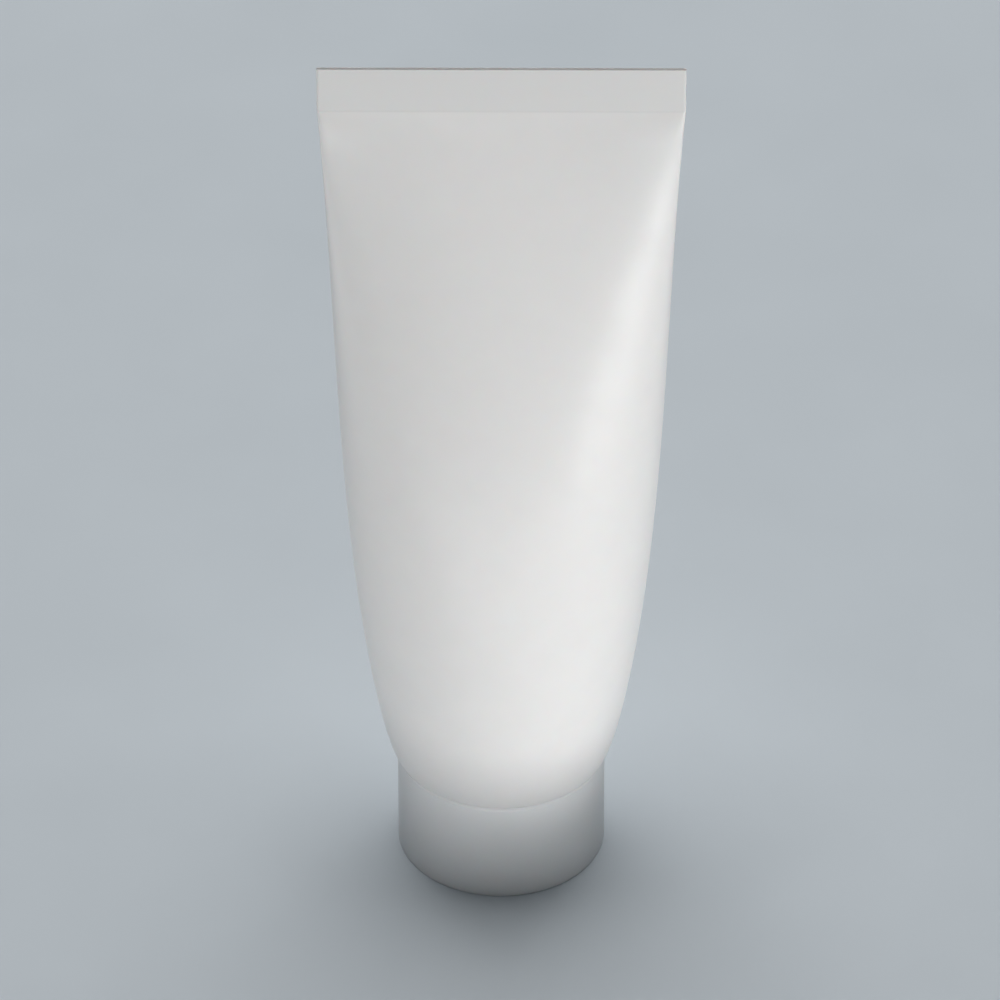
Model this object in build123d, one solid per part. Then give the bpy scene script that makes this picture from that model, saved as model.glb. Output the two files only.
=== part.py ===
from build123d import *
import os

# A cream tube that stands on its cap. The body is one blown piece of soft plastic: a threaded neck
# and a shallow shoulder at the bottom, a round belly, and a top end that is pressed flat and welded
# after filling. X runs along the weld, the front faces -Y, and the foot of the cap is at z = 0.
# All sizes are in millimetres.

# Cap: a plain skirt with a closed foot, and a threaded sleeve inside it
CAP_DIAMETER = 35.0
CAP_HEIGHT = 19.0
CAP_WALL = 1.4
CAP_FLOOR = 1.8
CAP_FOOT_BEVEL = 0.5
CAP_RIM_BEVEL = 0.4
FOOT_RING_WIDTH = 3.0
FOOT_RECESS = 0.4
SLEEVE_WALL = 1.5
SLEEVE_DROP = 1.0
SLEEVE_LEAD_IN = 0.5
RIB_COUNT = 8
RIB_THICKNESS = 0.9
RIB_HEIGHT = 7.0
RIB_ROOT = 0.3

# Sealing disc on the floor of the sleeve
LINER_THICKNESS = 1.0
LINER_CLEARANCE = 0.2

# Neck and shoulder of the body
THREAD_DIAMETER = 15.0
THREAD_DEPTH = 0.8
THREAD_CLEARANCE = 0.2
NECK_BORE = 10.4
NECK_END_WALL = 1.2
NECK_LEAD_IN = 0.6
ORIFICE_DIAMETER = 5.0
SHOULDER_DROP = 2.8
SHOULDER_WALL = 0.9
RIM_GAP = 0.2
LAND_CLEARANCE = 0.3

# Body above the shoulder
WALL = 0.45
BODY_HEIGHT = 132.0
WELD_WIDTH = 59.7
WELD_HEIGHT = 8.3
WELD_THICKNESS = 0.7
WELD_ROOT = 1.5
BELLY_DEPTH = 45.8
BELLY_UP = 30.8

# Handles that shape the outlines: how far each one lies from the end that it starts at
FRONT_FLARE_OUT = 3.3
FRONT_FLARE_UP = 1.5
FRONT_LOWER_OUT = 11.3
FRONT_LOWER_UP = 54.5
FRONT_UPPER_IN = 3.9
FRONT_UPPER_DOWN = 52.5
SIDE_FLARE_OUT = 1.9
SIDE_FLARE_UP = 1.2
BELLY_HANDLE_DOWN = 11.4
BELLY_HANDLE_UP = 33.3
WEDGE_OUT = 8.4
WEDGE_DOWN = 27.4

# Contents
CREAM_CLEARANCE = 0.2
HEADSPACE = 12.0

# How the body's form is sampled: more sections near the shoulder, where it turns quickly
SECTION_COUNT = 14
SECTION_SPACING = 1.7
SEARCH_STEPS = 40
OVERLAP = 0.5

# Heights and radii that follow from the sizes above
cap_radius = CAP_DIAMETER / 2
cap_inner_radius = cap_radius - CAP_WALL
shoulder_z = CAP_HEIGHT + RIM_GAP
weld_foot_z = shoulder_z + BODY_HEIGHT
neck_tip_z = CAP_FLOOR + LINER_THICKNESS
neck_root_z = shoulder_z - SHOULDER_DROP
neck_radius = THREAD_DIAMETER / 2 - THREAD_DEPTH
sleeve_bore_radius = THREAD_DIAMETER / 2 + THREAD_CLEARANCE
sleeve_radius = sleeve_bore_radius + SLEEVE_WALL
sleeve_top_z = neck_root_z - SLEEVE_DROP
land_radius = cap_inner_radius - LAND_CLEARANCE
shoulder_slope = SHOULDER_DROP / (land_radius - neck_radius)


def front_outline():
    """The body seen from the front: half width against height, from the shoulder to the weld."""
    return Bezier(
        (cap_radius, shoulder_z),
        (cap_radius + FRONT_FLARE_OUT, shoulder_z + FRONT_FLARE_UP),
        (cap_radius + FRONT_LOWER_OUT, shoulder_z + FRONT_LOWER_UP),
        (WELD_WIDTH / 2 - FRONT_UPPER_IN, weld_foot_z - FRONT_UPPER_DOWN),
        (WELD_WIDTH / 2, weld_foot_z),
    )


def side_outline():
    """The body seen from the side: half depth against height, widest at the belly, then a wedge."""
    belly = (BELLY_DEPTH / 2, shoulder_z + BELLY_UP)
    below = Bezier(
        (cap_radius, shoulder_z),
        (cap_radius + SIDE_FLARE_OUT, shoulder_z + SIDE_FLARE_UP),
        (belly[0], belly[1] - BELLY_HANDLE_DOWN),
        belly,
    )
    above = Bezier(
        belly,
        (belly[0], belly[1] + BELLY_HANDLE_UP),
        (WALL + WEDGE_OUT, weld_foot_z - WEDGE_DOWN),
        (WALL, weld_foot_z),
    )
    return Wire([below, above])


def half_size(outline, height):
    """The outline's half size at a height, found by halving the stretch that holds it."""
    low = 0.0
    high = 1.0
    for _ in range(SEARCH_STEPS):
        middle = (low + high) / 2
        if (outline @ middle).Y < height:
            low = middle
        else:
            high = middle
    return (outline @ high).X


def body_form(inset, low, high):
    """The body's form between two heights, drawn in from its outer face by an inset."""
    front = front_outline()
    side = side_outline()
    sections = []
    for step in range(SECTION_COUNT):
        share = (step / (SECTION_COUNT - 1)) ** SECTION_SPACING
        height = low + (high - low) * share
        half_width = half_size(front, height) - inset
        half_depth = half_size(side, height) - inset
        section = scale(Circle(1), by=(half_width, half_depth, 1))
        sections.append(Plane.XY.offset(height) * section)
    return loft(sections)


def turned(*corners):
    """A solid turned about Z from corners given as radius and height."""
    section = make_face(Polyline(*corners, close=True))
    return revolve(Plane.XZ * section, Axis.Z)


def neck_and_shoulder():
    """The outside of the neck and of the shoulder's cone, reaching a little into the body."""
    return turned(
        (0, neck_tip_z),
        (neck_radius - NECK_LEAD_IN, neck_tip_z),
        (neck_radius, neck_tip_z + NECK_LEAD_IN),
        (neck_radius, neck_root_z),
        (land_radius, shoulder_z),
        (land_radius, shoulder_z + OVERLAP),
        (0, shoulder_z + OVERLAP),
    )


def inner_space(clearance, mouth_z, top_z):
    """The room inside the wall, drawn in by a clearance, from the orifice's mouth to a top height."""
    bore_radius = NECK_BORE / 2
    floor_z = shoulder_z + SHOULDER_WALL + clearance
    cone_foot_z = floor_z - (land_radius - bore_radius) * shoulder_slope
    neck = turned(
        (0, mouth_z),
        (ORIFICE_DIAMETER / 2 - clearance, mouth_z),
        (ORIFICE_DIAMETER / 2 - clearance, neck_tip_z + NECK_END_WALL + clearance),
        (bore_radius - clearance, neck_tip_z + NECK_END_WALL + clearance),
        (bore_radius - clearance, cone_foot_z),
        (land_radius - clearance, floor_z),
        (land_radius - clearance, floor_z + OVERLAP),
        (0, floor_z + OVERLAP),
    )
    return neck + body_form(WALL + clearance, floor_z, top_z)


def make_tube():
    """Neck, shoulder, body and weld strip as one hollow piece."""
    outside = body_form(0, shoulder_z, weld_foot_z) + neck_and_shoulder()
    strip = Plane.XY.offset(weld_foot_z) * SlotOverall(WELD_WIDTH, WELD_THICKNESS)
    outside += extrude(strip, WELD_HEIGHT)
    return outside - inner_space(0, neck_tip_z - OVERLAP, weld_foot_z - WELD_ROOT)


def make_cream():
    """The contents: they stand in the orifice and reach up to the headspace below the weld."""
    return inner_space(CREAM_CLEARANCE, neck_tip_z + CREAM_CLEARANCE, weld_foot_z - HEADSPACE)


def make_screw_cap():
    """Skirt, closed foot with a standing ring, threaded sleeve and the ribs that tie them."""
    ring_radius = cap_radius - FOOT_RING_WIDTH
    skirt = turned(
        (0, FOOT_RECESS),
        (ring_radius, FOOT_RECESS),
        (ring_radius, 0),
        (cap_radius - CAP_FOOT_BEVEL, 0),
        (cap_radius, CAP_FOOT_BEVEL),
        (cap_radius, CAP_HEIGHT - CAP_RIM_BEVEL),
        (cap_radius - CAP_RIM_BEVEL, CAP_HEIGHT),
        (cap_inner_radius, CAP_HEIGHT),
        (cap_inner_radius, CAP_FLOOR),
        (0, CAP_FLOOR),
    )
    sleeve = turned(
        (sleeve_bore_radius, CAP_FLOOR - OVERLAP),
        (sleeve_radius, CAP_FLOOR - OVERLAP),
        (sleeve_radius, sleeve_top_z),
        (sleeve_bore_radius + SLEEVE_LEAD_IN, sleeve_top_z),
        (sleeve_bore_radius, sleeve_top_z - SLEEVE_LEAD_IN),
    )
    rib_length = cap_inner_radius - sleeve_radius + 2 * RIB_ROOT
    rib = Box(
        rib_length,
        RIB_THICKNESS,
        RIB_HEIGHT + OVERLAP,
        align=(Align.MIN, Align.CENTER, Align.MIN),
    )
    places = PolarLocations(sleeve_radius - RIB_ROOT, RIB_COUNT)
    ribs = Pos(0, 0, CAP_FLOOR - OVERLAP) * places * rib
    return skirt + sleeve + ribs


def make_cap_liner():
    """The sealing disc that lies on the cap's floor, inside the sleeve."""
    disc = Cylinder(
        sleeve_bore_radius - LINER_CLEARANCE,
        LINER_THICKNESS,
        align=(Align.CENTER, Align.CENTER, Align.MIN),
    )
    return Pos(0, 0, CAP_FLOOR) * disc


os.makedirs("parts", exist_ok=True)
export_step(make_tube(), "parts/tube.step")
export_step(make_cream(), "parts/cream.step")
export_step(make_screw_cap(), "parts/screw_cap.step")
export_step(make_cap_liner(), "parts/cap_liner.step")
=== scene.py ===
"""The looks of a cream tube that stands on its screw cap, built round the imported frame.

Pieces are worked out in millimetres and go into Blender in metres. X runs along the weld, the front
faces -Y, and the foot of the cap is at height 0.
"""

import logging
import math
from collections.abc import Sequence
from dataclasses import dataclass
from enum import Enum

import bmesh
import bpy
import numpy as np
from mathutils import Euler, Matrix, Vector

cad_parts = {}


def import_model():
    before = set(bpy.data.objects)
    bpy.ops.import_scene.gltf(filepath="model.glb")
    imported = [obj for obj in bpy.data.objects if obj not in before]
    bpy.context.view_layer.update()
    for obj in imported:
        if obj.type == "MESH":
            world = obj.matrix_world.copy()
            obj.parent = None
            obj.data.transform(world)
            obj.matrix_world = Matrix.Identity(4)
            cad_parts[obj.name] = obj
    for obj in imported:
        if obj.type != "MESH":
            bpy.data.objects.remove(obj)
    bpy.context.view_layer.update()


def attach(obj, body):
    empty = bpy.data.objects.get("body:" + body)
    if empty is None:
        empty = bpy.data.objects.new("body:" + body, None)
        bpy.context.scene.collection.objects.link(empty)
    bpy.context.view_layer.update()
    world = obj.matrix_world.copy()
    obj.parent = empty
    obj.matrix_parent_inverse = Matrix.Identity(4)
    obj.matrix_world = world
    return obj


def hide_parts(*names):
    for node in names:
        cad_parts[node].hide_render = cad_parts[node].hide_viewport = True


LOG = logging.getLogger("cream_tube")
MILLIMETRE = 0.001
FULL_TURN = 2 * math.pi
# Points that lie closer than this are one, in metres
MERGE_DISTANCE = 1e-7
# Edges that turn by more than this stay sharp in the shading
SHARP_ANGLE = math.radians(40)
# Points on the curve that eases a corner
EASING_POINTS = 5
# How far a guard point lies from its corner, in cuts
GUARD_REACH = 1.5
# Step from the last ring of one stretch to the first ring of the next, in millimetres
RING_STEP = 0.1
# Where nearly all values of a noise lie
NOISE_LOW = 0.3
NOISE_HIGH = 0.7
# Octaves of the noise that draws the patches
PATCH_DETAIL = 2.0

Socket = bpy.types.NodeSocket
Piece = bpy.types.Object


class Body(Enum):
    """The bodies of the frame that a piece can move with."""

    CAP = "cap"
    LINER = "liner"
    TUBE = "tube"


class Slot(Enum):
    """The record's material slots."""

    WALL = "tube_plastic"
    CONTENTS = "cream"
    CAP = "cap_plastic"
    SEAL = "liner_foam"


class Stand(Enum):
    """Which way a screw thread's ridge stands from the wall that carries it."""

    OUTWARDS = 1
    INWARDS = -1


class Target(Enum):
    """What a lamp is meant for: the tube with its cap, or the paper that it stands on."""

    TUBE = "tube"
    PAPER = "paper"


class Grain(Enum):
    """The fine structure of a surface, as the texture that draws it and the output that is read."""

    SPECKS = ("ShaderNodeTexNoise", "Fac")
    CELLS = ("ShaderNodeTexVoronoi", "Distance")


def linear(code: str) -> tuple[float, float, float, float]:
    """Turns an sRGB hex colour to a linear one by the sRGB curve.

    Args:
        code: six hex digits after a hash sign.

    Returns:
        Linear red, green and blue, and an alpha of 1.
    """
    parts = np.array([int(code[start : start + 2], 16) for start in (1, 3, 5)]) / 255
    bent = ((parts + 0.055) / 1.055) ** 2.4
    red, green, blue = np.where(parts <= 0.04045, parts / 12.92, bent).tolist()
    return red, green, blue, 1.0


def smooth(share: np.ndarray) -> np.ndarray:
    """Eases a share from 0 to 1 with level ends: three squares less two cubes of it."""
    held = np.clip(share, 0, 1)
    return held * held * (3 - 2 * held)


def bezier(handles: np.ndarray, share: np.ndarray) -> np.ndarray:
    """Points on a Bezier curve: each handle weighted by its Bernstein polynomial.

    Args:
        handles: one row of coordinates for each handle.
        share: where the points lie, from 0 at the first handle to 1 at the last.

    Returns:
        One row of coordinates for each share.
    """
    degree = len(handles) - 1
    power = np.arange(degree + 1)
    choices = np.array([math.comb(degree, count) for count in power])
    along = share[:, None]
    return (choices * along**power * (1 - along) ** (degree - power)) @ handles


def eased(corners: Sequence[Sequence[float]]) -> np.ndarray:
    """Draws a path through corners and eases each inner corner.

    A corner gives way to a quadratic Bezier curve whose ends lie a cut's length before and after it.
    One more point just outside each end keeps the straight runs evenly shaded.

    Args:
        corners: rows of coordinates, each with the corner's cut as its last number.

    Returns:
        The path's points, one row of coordinates each.
    """
    table = np.array(corners, float)
    points, cuts = table[:, :-1], table[1:-1, -1:]
    middle = points[1:-1]
    back = points[:-2] - middle
    ahead = points[2:] - middle
    back *= cuts / np.linalg.norm(back, axis=1, keepdims=True)
    ahead *= cuts / np.linalg.norm(ahead, axis=1, keepdims=True)
    share = np.linspace(0, 1, EASING_POINTS)
    from_back = np.concatenate([[GUARD_REACH], (1 - share) ** 2, [0]])[:, None]
    from_ahead = np.concatenate([[0], share**2, [GUARD_REACH]])[:, None]
    turns = middle[:, None] + from_back * back[:, None] + from_ahead * ahead[:, None]
    return np.concatenate([points[:1], turns.reshape(-1, points.shape[1]), points[-1:]])


def round_rows(corners: Sequence[Sequence[float]]) -> list[list[float]]:
    """Rows of radius, height and cut as rows of half width, half depth, height and cut."""
    return [[radius, radius, height, cut] for radius, height, cut in corners]


def polar(radius: np.ndarray, angle: np.ndarray, height: np.ndarray) -> np.ndarray:
    """Places points round the axis: x is the radius times the angle's cosine, y times its sine.

    Args:
        radius: the points' distances from the axis.
        angle: their angles round it.
        height: their heights, of any shape that spreads over the other two.

    Returns:
        The points, with x, y and z along the last axis.
    """
    x = radius * np.cos(angle)
    y = radius * np.sin(angle)
    return np.stack([x, y, np.broadcast_to(height, x.shape)], axis=-1)


def skin(name: str, points: np.ndarray) -> Piece:
    """Joins rings of points into one closed mesh object.

    Neighbouring rings are joined by quads. Points that meet are merged after that, which closes the
    poles, where a ring has no size, and the flat ends, where a ring has no depth.

    Args:
        name: the piece's name.
        points: rings by columns by x, y and z in millimetres. The rings run down an outer wall.

    Returns:
        The new object, shaded smooth up to the sharp angle.
    """
    rings, columns, _ = points.shape
    ring = np.arange(rings - 1)[:, None] * columns
    column = np.arange(columns)[None, :]
    following = (column + 1) % columns
    below = ring + columns
    corners = [ring + column, below + column, below + following, ring + following]
    quads = np.stack(corners, axis=-1).reshape(-1, 4)
    places = points.reshape(-1, 3) * MILLIMETRE
    mesh = bpy.data.meshes.new(name)
    mesh.from_pydata(places.tolist(), [], quads.tolist())
    shell = bmesh.new()
    shell.from_mesh(mesh)
    bmesh.ops.remove_doubles(shell, verts=shell.verts, dist=MERGE_DISTANCE)
    shell.to_mesh(mesh)
    shell.free()
    mesh.shade_smooth()
    mesh.set_sharp_from_angle(angle=SHARP_ANGLE)
    piece = bpy.data.objects.new(name, mesh)
    bpy.context.scene.collection.objects.link(piece)
    return piece


def group(name: str, members: Sequence[Piece]) -> bpy.types.Collection:
    """Gathers objects in a new collection.

    Args:
        name: the collection's name.
        members: the objects.

    Returns:
        The new collection.
    """
    gathered = bpy.data.collections.new(name)
    for member in members:
        gathered.objects.link(member)
    return gathered


def add_node(
    tree: bpy.types.NodeTree,
    kind: str,
    inputs: dict[str | int, object] | None = None,
    **settings: object,
) -> bpy.types.Node:
    """Adds one node with its settings, and fills or links its inputs.

    Args:
        tree: the node tree that it goes into.
        kind: the node's type.
        inputs: a value, or an output socket to link, for each input's name or number.
        settings: the node's own properties.

    Returns:
        The new node.
    """
    node = tree.nodes.new(kind)
    for name, value in settings.items():
        setattr(node, name, value)
    for name, value in (inputs or {}).items():
        if isinstance(value, Socket):
            tree.links.new(value, node.inputs[name])
        else:
            node.inputs[name].default_value = value
    return node


@dataclass(frozen=True)
class Finish:
    """A surface whose shade and gloss drift in soft patches, with a fine grain over them.

    Attributes:
        name: the real material and how its surface was made.
        pale: sRGB colour of the palest patches.
        deep: sRGB colour of the deepest patches.
        gloss: roughness where the surface is smoothest.
        dull: roughness where it is dullest.
        ior: the material's refractive index.
        patch_mm: size of a patch.
        patch_height_mm: how far a patch rises.
        grain_mm: size of the grain.
        grain_height_mm: how far the grain rises.
        grain: what the grain is made of.
        scatter: share of the light that spreads under the surface before it comes out.
        scatter_mm: how far that light spreads.
    """

    name: str
    pale: str
    deep: str
    gloss: float
    dull: float
    ior: float
    patch_mm: float
    patch_height_mm: float
    grain_mm: float
    grain_height_mm: float
    grain: Grain = Grain.SPECKS
    scatter: float = 0.0
    scatter_mm: float = 0.5

    def layers(
        self, tree: bpy.types.NodeTree, place: Socket, patches: Socket
    ) -> tuple[Socket, Socket]:
        """Works out the shade and the height of the surface from its patches.

        Args:
            tree: the material's node tree.
            place: the point on the piece, in metres.
            patches: the patches' share at that point.

        Returns:
            The shade, which is the patches' share between pale and deep, and the height.
        """
        # A colour mix reads inputs 6 and 7 and gives output 2
        shades = {0: patches, 6: linear(self.pale), 7: linear(self.deep)}
        return add_node(tree, "ShaderNodeMix", shades, data_type="RGBA").outputs[2], patches

    def material(self) -> bpy.types.Material:
        """Builds the material's nodes: noise patches for shade and gloss, and two layers of bump.

        Returns:
            The new material.
        """
        made = bpy.data.materials.new(self.name)
        made.use_nodes = True
        tree = made.node_tree
        tree.nodes.clear()
        place = add_node(tree, "ShaderNodeTexCoord").outputs["Object"]
        spread = {"Vector": place, "Scale": 1 / (self.patch_mm * MILLIMETRE)}
        spread["Detail"] = PATCH_DETAIL
        patches = add_node(tree, "ShaderNodeTexNoise", spread).outputs["Fac"]
        kind, output = self.grain.value
        fine = {"Vector": place, "Scale": 1 / (self.grain_mm * MILLIMETRE)}
        grain = add_node(tree, kind, fine).outputs[output]
        span = {"Value": patches, "From Min": NOISE_LOW, "From Max": NOISE_HIGH}
        span.update({"To Min": self.gloss, "To Max": self.dull})
        roughness = add_node(tree, "ShaderNodeMapRange", span).outputs["Result"]
        shade, height = self.layers(tree, place, patches)
        swell = {"Height": height, "Distance": self.patch_height_mm * MILLIMETRE}
        broad = add_node(tree, "ShaderNodeBump", swell).outputs["Normal"]
        rise = {"Height": grain, "Distance": self.grain_height_mm * MILLIMETRE}
        rise["Normal"] = broad
        normal = add_node(tree, "ShaderNodeBump", rise).outputs["Normal"]
        surface = {
            "Base Color": shade,
            "Roughness": roughness,
            "IOR": self.ior,
            "Normal": normal,
            "Subsurface Weight": self.scatter,
            "Subsurface Scale": self.scatter_mm * MILLIMETRE,
        }
        shader = add_node(tree, "ShaderNodeBsdfPrincipled", surface)
        end = {"Surface": shader.outputs["BSDF"]}
        add_node(tree, "ShaderNodeOutputMaterial", end)
        return made


@dataclass(frozen=True)
class WeldedFinish(Finish):
    """A blown wall whose end was pressed between hot jaws, which leaves that strip flat; its greyer
    colour is partly the thin wall and partly painted shade.

    Attributes:
        pressed_from_mm: height at which the pressed strip starts.
        pressed_to_mm: height above which it is fully pressed.
        pressed: sRGB colour of the strip, greyer where no contents lie behind the wall, and darkened
            further by painted shade for the light that falls there.
    """

    pressed_from_mm: float = 151.0
    pressed_to_mm: float = 151.3
    # Partly painted shade: the strip is drawn darker, as the light falls on it, than the wall below
    pressed: str = "#dddcda"

    def layers(
        self, tree: bpy.types.NodeTree, place: Socket, patches: Socket
    ) -> tuple[Socket, Socket]:
        """The wall's shade and height, with the strip's greyer colour, partly painted shade, and no
        relief above the weld's foot.

        Args:
            tree: the material's node tree.
            place: the point on the piece, in metres.
            patches: the patches' share at that point.

        Returns:
            The shade and the height.
        """
        shade, height = super().layers(tree, place, patches)
        level = add_node(tree, "ShaderNodeSeparateXYZ", {"Vector": place}).outputs["Z"]
        span = {"Value": level, "From Min": self.pressed_from_mm * MILLIMETRE}
        span["From Max"] = self.pressed_to_mm * MILLIMETRE
        strip = add_node(tree, "ShaderNodeMapRange", span).outputs["Result"]
        # The strip's colour is partly painted shade, darker than the wall below as the light falls
        # there
        shades = {0: strip, 6: shade, 7: linear(self.pressed)}
        shade = add_node(tree, "ShaderNodeMix", shades, data_type="RGBA").outputs[2]
        rest = {0: 1.0, 1: strip}
        left = add_node(tree, "ShaderNodeMath", rest, operation="SUBTRACT").outputs["Value"]
        kept = {0: height, 1: left}
        relief = add_node(tree, "ShaderNodeMath", kept, operation="MULTIPLY").outputs["Value"]
        return shade, relief


# Low-density polyethylene with white pigment, blown into a polished mould: a soft satin white whose
# highlights are wide, with the faint waviness of a wall that cooled against the mould
BLOWN_POLYETHYLENE = WeldedFinish(
    name="white_polyethylene_blown",
    pale="#eae8e6",
    deep="#e5e3e1",
    gloss=0.32,
    dull=0.39,
    ior=1.51,
    patch_mm=6.0,
    patch_height_mm=0.012,
    grain_mm=0.5,
    grain_height_mm=0.0015,
    scatter=0.1,
    scatter_mm=0.6,
)

# Polypropylene with white pigment, injected into a steel mould with a fine satin face: a little
# cooler and harder to the eye than the body, with an even sheen
MOULDED_POLYPROPYLENE = Finish(
    name="white_polypropylene_moulded",
    pale="#e4e5e5",
    deep="#dfe0e0",
    gloss=0.36,
    dull=0.42,
    ior=1.49,
    patch_mm=9.0,
    patch_height_mm=0.006,
    grain_mm=0.45,
    grain_height_mm=0.002,
    scatter=0.08,
)

# Foamed polyethylene sheet, punched to a disc: dead matt, with cells about half a millimetre wide,
# drawn a little coarser than the real ones so that they show
FOAMED_POLYETHYLENE = Finish(
    name="white_polyethylene_foam",
    pale="#eceeee",
    deep="#e2e5e5",
    gloss=0.7,
    dull=0.85,
    ior=1.4,
    patch_mm=3.0,
    patch_height_mm=0.02,
    grain_mm=0.6,
    grain_height_mm=0.05,
    grain=Grain.CELLS,
)

# Oil in water emulsion, whipped smooth: ivory, wet at the surface, and light goes some way in
CREAM_EMULSION = Finish(
    name="cream_emulsion",
    pale="#f3ecdf",
    deep="#efe6d6",
    gloss=0.2,
    dull=0.3,
    ior=1.42,
    patch_mm=7.0,
    patch_height_mm=0.25,
    grain_mm=1.2,
    grain_height_mm=0.01,
    scatter=0.35,
    scatter_mm=2.0,
)

# Background paper, rolled out flat: matt, with the faint cloudiness of its pulp
BACKGROUND_PAPER = Finish(
    name="pale_background_paper",
    pale="#d2dae0",
    deep="#ced6dc",
    gloss=0.8,
    dull=0.9,
    ior=1.45,
    patch_mm=30.0,
    patch_height_mm=0.0,
    grain_mm=1.5,
    grain_height_mm=0.01,
)

# Black felt card, which takes up the light that falls on it
BLACK_CARD = Finish(
    name="black_felt_card",
    pale="#161616",
    deep="#101010",
    gloss=0.9,
    dull=1.0,
    ior=1.45,
    patch_mm=5.0,
    patch_height_mm=0.0,
    grain_mm=0.4,
    grain_height_mm=0.05,
)


@dataclass(frozen=True)
class Thread:
    """A right-hand screw ridge that climbs by its pitch in each turn, in millimetres.

    The neck's and the sleeve's ridge share one pitch and lie half a turn of it apart, so that each
    runs along the other's groove while the tube is turned.

    Attributes:
        start: height at which the ridge starts.
        end: height at which it ends.
        phase: share of a turn by which it is shifted.
        stand: whether it stands out from its wall or in from it.
        pitch: climb in one turn.
        rise: how far the ridge stands from its wall.
        crest: half the width of its crest.
        foot: half the width of its foot.
        run_out: climb over which each end fades into the wall.
    """

    start: float
    end: float
    phase: float
    stand: Stand
    pitch: float = 3.0
    rise: float = 0.7
    crest: float = 0.25
    foot: float = 0.72
    run_out: float = 0.7

    def shift(self, height: np.ndarray, angle: np.ndarray) -> np.ndarray:
        """How far the wall is moved outwards by the ridge.

        The distance along the axis to the ridge's nearest middle line decides the flank: full at the
        crest, nothing past the foot, eased between. The middle line's own height fades the ends.

        Args:
            height: heights of the wall's points.
            angle: their angles round the axis.

        Returns:
            The shift of each point, negative where the ridge stands inwards.
        """
        turns = height / self.pitch - angle / FULL_TURN - self.phase
        away = (turns - np.round(turns)) * self.pitch
        climbed = height - away
        flank = smooth((self.foot - np.abs(away)) / (self.foot - self.crest))
        begun = smooth((climbed - self.start) / self.run_out)
        left = smooth((self.end - climbed) / self.run_out)
        return self.stand.value * self.rise * flank * begun * left


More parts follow.
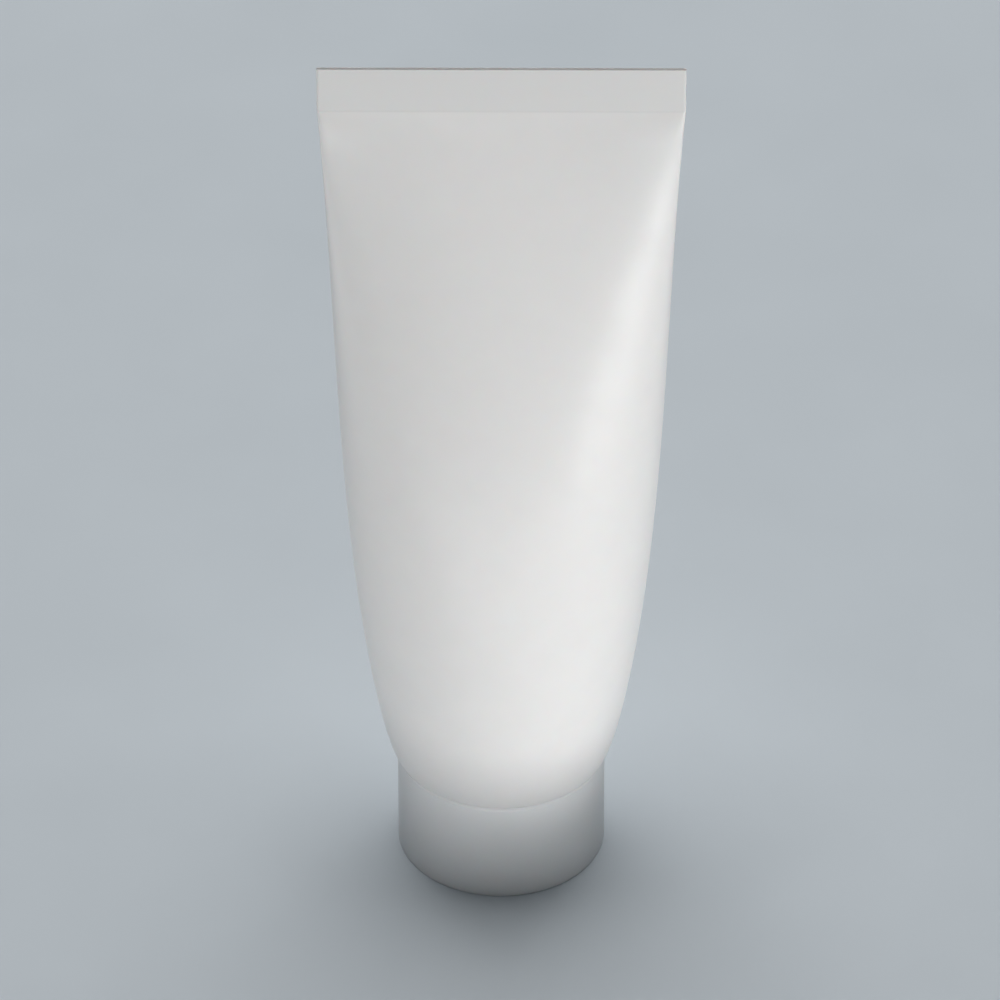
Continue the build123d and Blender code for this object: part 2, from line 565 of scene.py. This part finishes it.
@dataclass
class FilledTube:
    """The blown body with its weld, shoulder and threaded neck, and the cream inside it.

    Sizes are in millimetres. The body's form is one Bezier curve of half width, half depth and
    height, and its sections are ovals that turn to flat slots where the wall meets the weld.
    """

    handles: tuple[tuple[float, float, float], ...] = (
        (17.5, 17.5, 19.2),
        (20.45, 19.94, 21.17),
        (23.02, 24.57, 46.92),
        (27.82, 28.95, 61.09),
        (26.49, 13.75, 108.88),
        (29.85, 0.45, 151.2),
    )
    # Where on its curve the body's rings start and end, and how they crowd towards the foot
    foot_share: float = 0.035
    weld_share: float = 0.985
    body_crowding: float = 1.25
    inner_crowding: float = 1.5
    inner_start: float = 1.0
    form_samples: int = 2001
    columns: int = 224
    body_rings: int = 110
    inner_rings: int = 60
    neck_rings: int = 92
    cream_top_rings: int = 12
    # Weld and wall
    top: float = 159.5
    weld_half_width: float = 29.85
    weld_half_depth: float = 0.35
    weld_foot: float = 151.2
    weld_groove: float = 0.05
    groove_lip: float = 0.08
    flat_from: float = 144.0
    wall: float = 0.45
    cavity_top: float = 149.7
    cavity_floor: float = 20.1
    # Shoulder and neck, with the plain runs at the thread's two ends
    shoulder: float = 19.2
    land_radius: float = 15.8
    neck_root: float = 16.4
    neck_radius: float = 6.7
    neck_tip: float = 2.8
    root_run: float = 0.7
    tip_run: float = 1.0
    lead_in: float = 0.6
    orifice_radius: float = 2.5
    orifice_top: float = 4.0
    bore_radius: float = 5.2
    cone_foot: float = 16.84
    thread: Thread = Thread(start=4.2, end=14.2, phase=0.0, stand=Stand.OUTWARDS)
    # Cream
    cream_gap: float = 0.2
    cream_top: float = 139.2
    cream_dip: float = 1.2
    cream_edge: float = 1.0
    # How far the edges are eased
    groove_easing: float = 0.03
    top_easing: float = 0.12
    weld_easing: float = 0.2
    shoulder_easing: float = 0.6
    land_easing: float = 0.3
    root_easing: float = 0.4
    tip_easing: float = 0.15
    mouth_easing: float = 0.25
    orifice_easing: float = 0.2
    bore_easing: float = 0.4
    cone_easing: float = 0.6
    inner_land_easing: float = 0.4
    floor_easing: float = 0.3
    cream_easing: float = 0.4
    plug_easing: float = 0.5

    def form(self, share: np.ndarray) -> np.ndarray:
        """Half widths, half depths and heights of the body's form at shares of its curve."""
        return bezier(np.array(self.handles), share)

    def inner_form(self, heights: np.ndarray, inset: float) -> np.ndarray:
        """The body's form at given heights, drawn in from the outer face.

        Args:
            heights: the heights to read the curve at.
            inset: how far the form is drawn in.

        Returns:
            Rows of half width, half depth and height.
        """
        curve = self.form(np.linspace(0, 1, self.form_samples))
        width = np.interp(heights, curve[:, 2], curve[:, 0]) - inset
        depth = np.interp(heights, curve[:, 2], curve[:, 1]) - inset
        return np.stack([width, depth, heights], axis=1)

    def angles(self) -> np.ndarray:
        """The columns' angles round the axis, evenly spaced."""
        return np.linspace(0, FULL_TURN, self.columns, endpoint=False)

    def rings(self, path: np.ndarray) -> np.ndarray:
        """Turns a path into rings of points.

        Each ring's x is its half width times the cosine of the angle. Its y is an oval, the half
        depth times the sine, which turns to a slot with straight sides and round ends near the weld.

        Args:
            path: rows of half width, half depth and height.

        Returns:
            Rings by columns by x, y and z.
        """
        angle = self.angles()
        width, depth, height = (part[:, None] for part in path.T)
        x = width * np.cos(angle)
        oval = depth * np.sin(angle)
        into_end = np.abs(x) - width + depth
        sunk = np.clip(into_end, 0, depth)
        slot = np.sqrt(depth**2 - sunk**2) * np.sign(np.sin(angle))
        flat = smooth((height - self.flat_from) / (self.weld_foot - self.flat_from))
        y = oval + flat * (slot - oval)
        return np.stack([x, y, np.broadcast_to(height, x.shape)], axis=-1)

    def outer_path(self) -> np.ndarray:
        """The outside from the weld's top edge, with its fine groove, down to the neck.

        Returns:
            Rows of half width, half depth and height.
        """
        crowded = np.linspace(1, 0, self.body_rings) ** self.body_crowding
        body = self.form(self.foot_share + (self.weld_share - self.foot_share) * crowded)
        width, depth = self.weld_half_width, self.weld_half_depth
        middle, lip = width - depth, self.groove_lip
        weld = [
            [middle, 0, self.top - self.weld_groove, 0],
            [middle + lip, lip, self.top, self.groove_easing],
            [width, depth, self.top, self.top_easing],
            [width, depth, self.weld_foot, self.weld_easing],
            [*body[0], 0],
        ]
        foot = [[*body[-1], 0]]
        foot += round_rows(
            [
                (self.handles[0][0], self.shoulder, self.shoulder_easing),
                (self.land_radius, self.shoulder, self.land_easing),
                (self.neck_radius, self.neck_root, self.root_easing),
                (self.neck_radius, self.neck_root - self.root_run, 0),
            ]
        )
        return np.concatenate([eased(weld)[:-1], body, eased(foot)[1:]])

    def neck(self) -> np.ndarray:
        """The neck's outer wall with the thread on it.

        Returns:
            Rings by columns by x, y and z.
        """
        high = self.neck_root - self.root_run - RING_STEP
        low = self.neck_tip + self.tip_run + RING_STEP
        height = np.linspace(high, low, self.neck_rings)[:, None]
        angle = self.angles()[None, :]
        return polar(self.neck_radius + self.thread.shift(height, angle), angle, height)

    def inner_path(self) -> np.ndarray:
        """The neck's tip, the orifice, the bore and the inside of the wall up to the weld's root.

        Returns:
            Rows of half width, half depth and height.
        """
        low = self.cavity_floor + self.inner_start
        crowded = np.linspace(0, 1, self.inner_rings) ** self.inner_crowding
        inside = self.inner_form(low + (self.cavity_top - low) * crowded, self.wall)
        floor = self.inner_form(np.array([self.cavity_floor]), self.wall)[0]
        mouth = round_rows(
            [
                (self.neck_radius, self.neck_tip + self.tip_run, 0),
                (self.neck_radius, self.neck_tip + self.lead_in, self.tip_easing),
                (self.neck_radius - self.lead_in, self.neck_tip, self.tip_easing),
                (self.orifice_radius, self.neck_tip, self.mouth_easing),
                (self.orifice_radius, self.orifice_top, self.orifice_easing),
                (self.bore_radius, self.orifice_top, self.bore_easing),
                (self.bore_radius, self.cone_foot, self.cone_easing),
                (self.land_radius, self.cavity_floor, self.inner_land_easing),
            ]
        )
        mouth += [[*floor, self.floor_easing], [*inside[0], 0]]
        end = [[inside[-1, 0] - inside[-1, 1], 0, self.cavity_top]]
        return np.concatenate([eased(mouth)[:-1], inside, end])

    def cream_path(self) -> np.ndarray:
        """The cream from the dipped middle of its top, down the wall, to its plug in the orifice.

        The top rises from its middle to its edge by the fourth power of the way out.

        Returns:
            Rows of half width, half depth and height.
        """
        gap = self.cream_gap
        inset = self.wall + gap
        bottom = self.cavity_floor + gap
        low, high = bottom + self.inner_start, self.cream_top - self.cream_edge
        crowded = np.linspace(1, 0, self.inner_rings) ** self.inner_crowding
        side = self.inner_form(low + (high - low) * crowded, inset)
        floor, edge = self.inner_form(np.array([bottom, self.cream_top]), inset)
        out = np.linspace(0, 1, self.cream_top_rings)[:-1, None]
        level = edge[2] - self.cream_dip * (1 - out**4)
        top = np.concatenate([edge[:2] * out, level], axis=1)
        rim = [[*top[-1], 0], [*edge, self.cream_easing], [*side[0], 0]]
        plug = [[*side[-1], 0], [*floor, self.floor_easing]]
        plug += round_rows(
            [
                (self.land_radius - gap, bottom, self.inner_land_easing),
                (self.bore_radius - gap, self.cone_foot, self.cone_easing),
                (self.bore_radius - gap, self.orifice_top + gap, self.bore_easing),
                (self.orifice_radius - gap, self.orifice_top + gap, self.orifice_easing),
                (self.orifice_radius - gap, self.neck_tip + gap, self.plug_easing),
                (0, self.neck_tip + gap, 0),
            ]
        )
        return np.concatenate([top[:-1], eased(rim)[:-1], side, eased(plug)[1:]])

    def build(self) -> tuple[Piece, Piece]:
        """Builds the body and the cream.

        Returns:
            The body's object and the cream's.
        """
        outside = self.rings(self.outer_path())
        inside = self.rings(self.inner_path())
        body = skin("tube_body", np.concatenate([outside, self.neck(), inside]))
        cream = skin("cream_filling", self.rings(self.cream_path()))
        return body, cream

    def dress(self, body: Piece, cream: Piece) -> None:
        """Gives both pieces their finish, and ties them to the frame.

        Args:
            body: the body's object.
            cream: the cream's object.
        """
        body.data.materials.append(BLOWN_POLYETHYLENE.material())
        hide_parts("tube")
        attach(body, Body.TUBE.value)
        cream.data.materials.append(CREAM_EMULSION.material())
        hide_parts("cream")
        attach(cream, Body.TUBE.value)


@dataclass
class ScrewCap:
    """The moulded cap, skirt, foot, sleeve and ribs in one, and the foam disc on its floor.

    Sizes are in millimetres. The cap is a profile carried round the axis. Between sleeve and skirt
    the floor is lifted to the ribs' height where a rib stands, so the ribs belong to the same skin.
    """

    # Skirt and foot
    radius: float = 17.5
    height: float = 19.0
    rim_bevel: float = 0.4
    inner_radius: float = 16.1
    floor: float = 1.8
    foot_ring_radius: float = 14.5
    foot_recess: float = 0.4
    ring_draft: float = 0.1
    # Mark that the mould's gate leaves in the recess: a round dimple with a stub in it
    gate_radius: float = 1.7
    gate_floor_radius: float = 1.3
    gate_depth: float = 0.25
    stub_radius: float = 0.7
    stub_end_radius: float = 0.55
    gate_stub: float = 0.15
    # Sleeve, with the plain runs at the thread's two ends
    sleeve_radius: float = 9.2
    sleeve_bore: float = 7.7
    sleeve_top: float = 15.4
    sleeve_lead_in: float = 0.5
    floor_run: float = 0.9
    top_run: float = 0.7
    bore_rings: int = 88
    thread: Thread = Thread(start=3.6, end=14.9, phase=0.5, stand=Stand.INWARDS)
    # Ribs: the columns' distances from a rib's middle plane, and their shares of its height
    rib_count: int = 8
    rib_top: float = 8.8
    rib_across: tuple[float, ...] = (-0.5, -0.42, -0.3, 0.0, 0.3, 0.42, 0.5)
    rib_share: tuple[float, ...] = (0.0, 0.985, 1.0, 1.0, 1.0, 0.985, 0.0)
    plain_columns: int = 24
    skirt_run: float = 2.0
    # Foam disc, with the inner and outer slope of the dent in it
    liner_radius: float = 7.5
    liner_top: float = 2.8
    liner_dent: float = 0.04
    dent_inner: tuple[float, float] = (2.2, 2.4)
    dent_outer: tuple[float, float] = (6.2, 6.4)
    liner_columns: int = 128
    # How far the edges are eased
    rim_inner_easing: float = 0.15
    rim_easing: float = 0.1
    foot_easing: float = 0.2
    ring_easing: float = 0.12
    gate_easing: float = 0.1
    gate_floor_easing: float = 0.08
    stub_easing: float = 0.05
    bore_easing: float = 0.2
    lead_in_easing: float = 0.1
    sleeve_easing: float = 0.25
    rib_easing: float = 0.05
    pocket_easing: float = 0.35
    dent_easing: float = 0.08
    liner_top_easing: float = 0.2
    liner_foot_easing: float = 0.1

    def angles(self, radius: np.ndarray) -> np.ndarray:
        """The columns' angles at each ring's radius.

        Across a rib the columns keep their distance from its middle plane, so their angle is the arc
        sine of that distance over the radius. Between ribs they are evenly spaced.

        Args:
            radius: the rings' radii.

        Returns:
            Rings by columns of angles.
        """
        reach = np.clip(radius, self.sleeve_radius, self.inner_radius)[:, None]
        across = np.arcsin(np.array(self.rib_across) / reach)
        sector = FULL_TURN / self.rib_count
        edge = across[:, -1:]
        share = np.linspace(0, 1, self.plain_columns + 2)[1:-1]
        between = edge + (sector - 2 * edge) * share
        sectors = sector * np.arange(self.rib_count)[None, :, None]
        spread = sectors + np.concatenate([across, between], axis=1)[:, None, :]
        return spread.reshape(len(radius), -1)

    def rib_lift(self) -> np.ndarray:
        """The lowest height of the pocket's floor in each column, which is higher along the ribs."""
        share = np.concatenate([self.rib_share, np.zeros(self.plain_columns)])
        return np.tile(self.floor + (self.rib_top - self.floor) * share, self.rib_count)

    def turned(self, path: np.ndarray) -> np.ndarray:
        """Carries a path of radius and height round the axis.

        Args:
            path: rows of radius and height.

        Returns:
            Rings by columns by x, y and z.
        """
        return polar(path[:, :1], self.angles(path[:, 0]), path[:, 1:])

    def bore(self) -> np.ndarray:
        """The sleeve's floor and its bore with the thread.

        Returns:
            Rings by columns by x, y and z.
        """
        low, high = self.floor + self.floor_run, self.sleeve_top - self.top_run
        corners = [
            (0, self.floor, 0),
            (self.sleeve_bore, self.floor, self.bore_easing),
            (self.sleeve_bore, low, 0),
        ]
        height = np.linspace(low + RING_STEP, high - RING_STEP, self.bore_rings)[:, None]
        angle = self.angles(np.full(self.bore_rings, self.sleeve_bore))
        wall = polar(self.sleeve_bore + self.thread.shift(height, angle), angle, height)
        return np.concatenate([self.turned(eased(corners)), wall])

    def pocket(self) -> np.ndarray:
        """The sleeve's top and the pocket between sleeve and skirt, lifted where the ribs stand.

        Returns:
            Rings by columns by x, y and z.
        """
        opening = self.sleeve_bore + self.sleeve_lead_in
        corners = [
            (self.sleeve_bore, self.sleeve_top - self.top_run, 0),
            (self.sleeve_bore, self.sleeve_top - self.sleeve_lead_in, self.lead_in_easing),
            (opening, self.sleeve_top, self.lead_in_easing),
            (self.sleeve_radius, self.sleeve_top, self.sleeve_easing),
            (self.sleeve_radius, self.rib_top, self.rib_easing),
            (self.sleeve_radius, self.floor, self.pocket_easing),
            (self.inner_radius, self.floor, self.pocket_easing),
            (self.inner_radius, self.rib_top, self.rib_easing),
            (self.inner_radius, self.rib_top + self.skirt_run, 0),
        ]
        points = self.turned(eased(corners))
        points[..., 2] = np.maximum(points[..., 2], self.rib_lift())
        return points

    def outside(self) -> np.ndarray:
        """The rim, the skirt's outer face, the foot ring and the recess with the mould's gate mark.

        Returns:
            Rings by columns by x, y and z.
        """
        recess, gate = self.foot_recess, self.foot_recess + self.gate_depth
        stub = gate - self.gate_stub
        corners = [
            (self.inner_radius, self.rib_top + self.skirt_run + RING_STEP, 0),
            (self.inner_radius, self.height, self.rim_inner_easing),
            (self.radius - self.rim_bevel, self.height, self.rim_easing),
            (self.radius, self.height - self.rim_bevel, self.rim_easing),
            (self.radius, 0, self.foot_easing),
            (self.foot_ring_radius, 0, self.ring_easing),
            (self.foot_ring_radius - self.ring_draft, recess, self.ring_easing),
            (self.gate_radius, recess, self.gate_easing),
            (self.gate_floor_radius, gate, self.gate_floor_easing),
            (self.stub_radius, gate, self.stub_easing),
            (self.stub_end_radius, stub, self.stub_easing),
            (0, stub, 0),
        ]
        return self.turned(eased(corners))

    def liner(self) -> np.ndarray:
        """The foam disc, with the dent that the neck's mouth leaves in it.

        Returns:
            Rings by columns by x, y and z.
        """
        dent = self.liner_top - self.liner_dent
        corners = [
            (0, self.liner_top, 0),
            (self.dent_inner[0], self.liner_top, self.dent_easing),
            (self.dent_inner[1], dent, self.dent_easing),
            (self.dent_outer[0], dent, self.dent_easing),
            (self.dent_outer[1], self.liner_top, self.dent_easing),
            (self.liner_radius, self.liner_top, self.liner_top_easing),
            (self.liner_radius, self.floor, self.liner_foot_easing),
            (0, self.floor, 0),
        ]
        path = eased(corners)
        angle = np.linspace(0, FULL_TURN, self.liner_columns, endpoint=False)
        return polar(path[:, :1], angle, path[:, 1:])

    def build(self) -> tuple[Piece, Piece]:
        """Builds the cap and its foam disc.

        Returns:
            The cap's object and the disc's.
        """
        cap = skin("cap_shell", np.concatenate([self.bore(), self.pocket(), self.outside()]))
        disc = skin("seal_disc", self.liner())
        return cap, disc

    def dress(self, cap: Piece, disc: Piece) -> None:
        """Gives both pieces their finish, and ties them to the frame.

        Args:
            cap: the cap's object.
            disc: the foam disc's object.
        """
        cap.data.materials.append(MOULDED_POLYPROPYLENE.material())
        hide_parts("screw_cap")
        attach(cap, Body.CAP.value)
        disc.data.materials.append(FOAMED_POLYETHYLENE.material())
        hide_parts("cap_liner")
        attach(disc, Body.LINER.value)


@dataclass(frozen=True)
class SoftBox:
    """A flat soft lamp that faces the tube's axis.

    Attributes:
        name: where it hangs.
        place: its middle, in metres.
        size: its width and height, in metres.
        power: its power, in watts.
        aim: height of the point that it faces, in metres.
        target: what it lights.
    """

    name: str
    place: tuple[float, float, float]
    size: tuple[float, float]
    power: float
    aim: float = 0.08
    target: Target = Target.TUBE

    def hang(self, lit: bpy.types.Collection, shading: bpy.types.Collection) -> None:
        """Adds the lamp to the scene, out of the camera's sight.

        Args:
            lit: the objects that it lights.
            shading: the objects that cast shadows in its light.
        """
        lamp = bpy.data.lights.new(self.name, "AREA")
        lamp.shape = "RECTANGLE"
        lamp.size, lamp.size_y = self.size
        lamp.energy = self.power
        held = bpy.data.objects.new(self.name, lamp)
        held.location = self.place
        way = Vector((0, 0, self.aim)) - held.location
        held.rotation_euler = way.to_track_quat("-Z", "Y").to_euler()
        held.visible_camera = False
        held.light_linking.receiver_collection = lit
        held.light_linking.blocker_collection = shading
        bpy.context.scene.collection.objects.link(held)


@dataclass(frozen=True)
class Studio:
    """The paper floor, the soft lamps, the plain surroundings and the camera, in metres."""

    floor_reach: float = 6.0
    floor_lines: int = 9
    lamps: tuple[SoftBox, ...] = (
        SoftBox("above_paper", (0.0, 0.5, 1.6), (1.6, 1.6), 24.0, target=Target.PAPER),
        SoftBox("above", (0.0, 0.3, 1.7), (1.2, 1.2), 5.0),
        SoftBox("behind", (0.0, 1.6, 0.3), (1.6, 0.5), 18.0),
        SoftBox("front", (0.0, -1.7, 0.6), (1.6, 0.8), 15.2),
        SoftBox("front_low", (0.0, -0.16, 0.018), (0.3, 0.03), 0.052, aim=0.06),
        SoftBox("front_right_low", (0.22, -0.17, 0.035), (0.16, 0.06), 0.25, aim=0.1),
        SoftBox("left_low", (-0.22, 0.02, 0.035), (0.16, 0.05), 0.085, aim=0.06),
        SoftBox("right_low", (0.22, 0.02, 0.035), (0.16, 0.05), 0.076, aim=0.06),
    )
    card_path: tuple[tuple[float, float], ...] = (
        (-0.09, 0.06),
        (-0.09, -0.02),
        (-0.06, -0.065),
        (0.06, -0.065),
        (0.09, -0.02),
        (0.09, 0.06),
    )
    card_height: float = 0.025
    surround: str = "#c3cdd5"
    lens_mm: float = 378.0
    sensor_mm: float = 36.0
    camera_place: tuple[float, float, float] = (-0.00022, -1.3765, 1.1451)
    camera_tilt: float = 52.045
    camera_turn: float = 0.18

    def build(self, pieces: Sequence[Piece]) -> None:
        """Lays the floor, stands the card, hangs the lamps, and sets surroundings and camera.

        Args:
            pieces: the object's pieces, which the lamps light and which cast shadows.
        """
        floor = self.lay_floor()
        card = self.stand_card()
        lit = {Target.TUBE: group("tube_lit", pieces), Target.PAPER: group("paper_lit", [floor])}
        shading = {
            Target.TUBE: group("tube_shading", [*pieces, card]),
            Target.PAPER: group("paper_shading", pieces),
        }
        for lamp in self.lamps:
            lamp.hang(lit[lamp.target], shading[lamp.target])
        self.surroundings()
        self.camera()
        bpy.context.scene.view_settings.view_transform = "Standard"

    def lay_floor(self) -> Piece:
        """Lays the paper as a flat square grid at height 0.

        Returns:
            The paper's object.
        """
        count = self.floor_lines
        line = np.linspace(-self.floor_reach, self.floor_reach, count)
        across, along = np.meshgrid(line, line)
        points = np.stack([across, along, np.zeros_like(across)], axis=-1).reshape(-1, 3)
        step = np.arange(count - 1)
        start = (step[:, None] * count + step).reshape(-1, 1)
        quads = start + np.array([0, 1, count + 1, count])
        mesh = bpy.data.meshes.new("paper_floor")
        mesh.from_pydata(points.tolist(), [], quads.tolist())
        mesh.materials.append(BACKGROUND_PAPER.material())
        floor = bpy.data.objects.new("paper_floor", mesh)
        bpy.context.scene.collection.objects.link(floor)
        return floor

    def stand_card(self) -> Piece:
        """Stands a low black card round the front, which keeps the lamps' light off the foot.

        It is its path carried upwards to its height, and nothing shows of it but the shade it casts.

        Returns:
            The card's object.
        """
        path = np.array(self.card_path)
        count = len(path)
        height = np.repeat([0, self.card_height], count)[:, None]
        points = np.concatenate([np.tile(path, (2, 1)), height], axis=1)
        quads = np.arange(count - 1)[:, None] + np.array([0, 1, count + 1, count])
        mesh = bpy.data.meshes.new("shade_card")
        mesh.from_pydata(points.tolist(), [], quads.tolist())
        mesh.materials.append(BLACK_CARD.material())
        card = bpy.data.objects.new("shade_card", mesh)
        card.visible_camera = False
        card.visible_diffuse = False
        card.visible_glossy = False
        bpy.context.scene.collection.objects.link(card)
        return card

    def surroundings(self) -> None:
        """Shows a plain pale surround to the eye and to reflections, which sheds no light itself."""
        world = bpy.data.worlds.new("pale_surroundings")
        world.use_nodes = True
        tree = world.node_tree
        tree.nodes.clear()
        ray = add_node(tree, "ShaderNodeLightPath").outputs
        seen = {0: ray["Is Camera Ray"], 1: ray["Is Glossy Ray"]}
        either = add_node(tree, "ShaderNodeMath", seen, operation="MAXIMUM").outputs["Value"]
        through = {0: either, 1: ray["Is Transmission Ray"]}
        shown = add_node(tree, "ShaderNodeMath", through, operation="MAXIMUM").outputs["Value"]
        glow = {"Color": linear(self.surround), "Strength": shown}
        light = add_node(tree, "ShaderNodeBackground", glow).outputs["Background"]
        add_node(tree, "ShaderNodeOutputWorld", {"Surface": light})
        bpy.context.scene.world = world

    def camera(self) -> None:
        """Sets the camera above the front, turned a little about the tube's axis."""
        optics = bpy.data.cameras.new("camera")
        optics.lens = self.lens_mm
        optics.sensor_width = self.sensor_mm
        turn = Euler((0, 0, math.radians(self.camera_turn)))
        held = bpy.data.objects.new("camera", optics)
        held.location = turn.to_matrix() @ Vector(self.camera_place)
        held.rotation_euler = (math.radians(self.camera_tilt), 0, turn.z)
        bpy.context.scene.collection.objects.link(held)
        bpy.context.scene.camera = held


def main() -> None:
    """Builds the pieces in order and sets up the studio."""
    logging.basicConfig(level=logging.INFO, format="%(name)s: %(message)s")
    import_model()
    shown: list[Piece] = []
    for assembly in (FilledTube(), ScrewCap()):
        pieces = assembly.build()
        assembly.dress(*pieces)
        shown += pieces
    for piece in shown:
        LOG.info("%s has %d faces", piece.name, len(piece.data.polygons))
    Studio().build(shown)


if __name__ == "__main__":
    main()
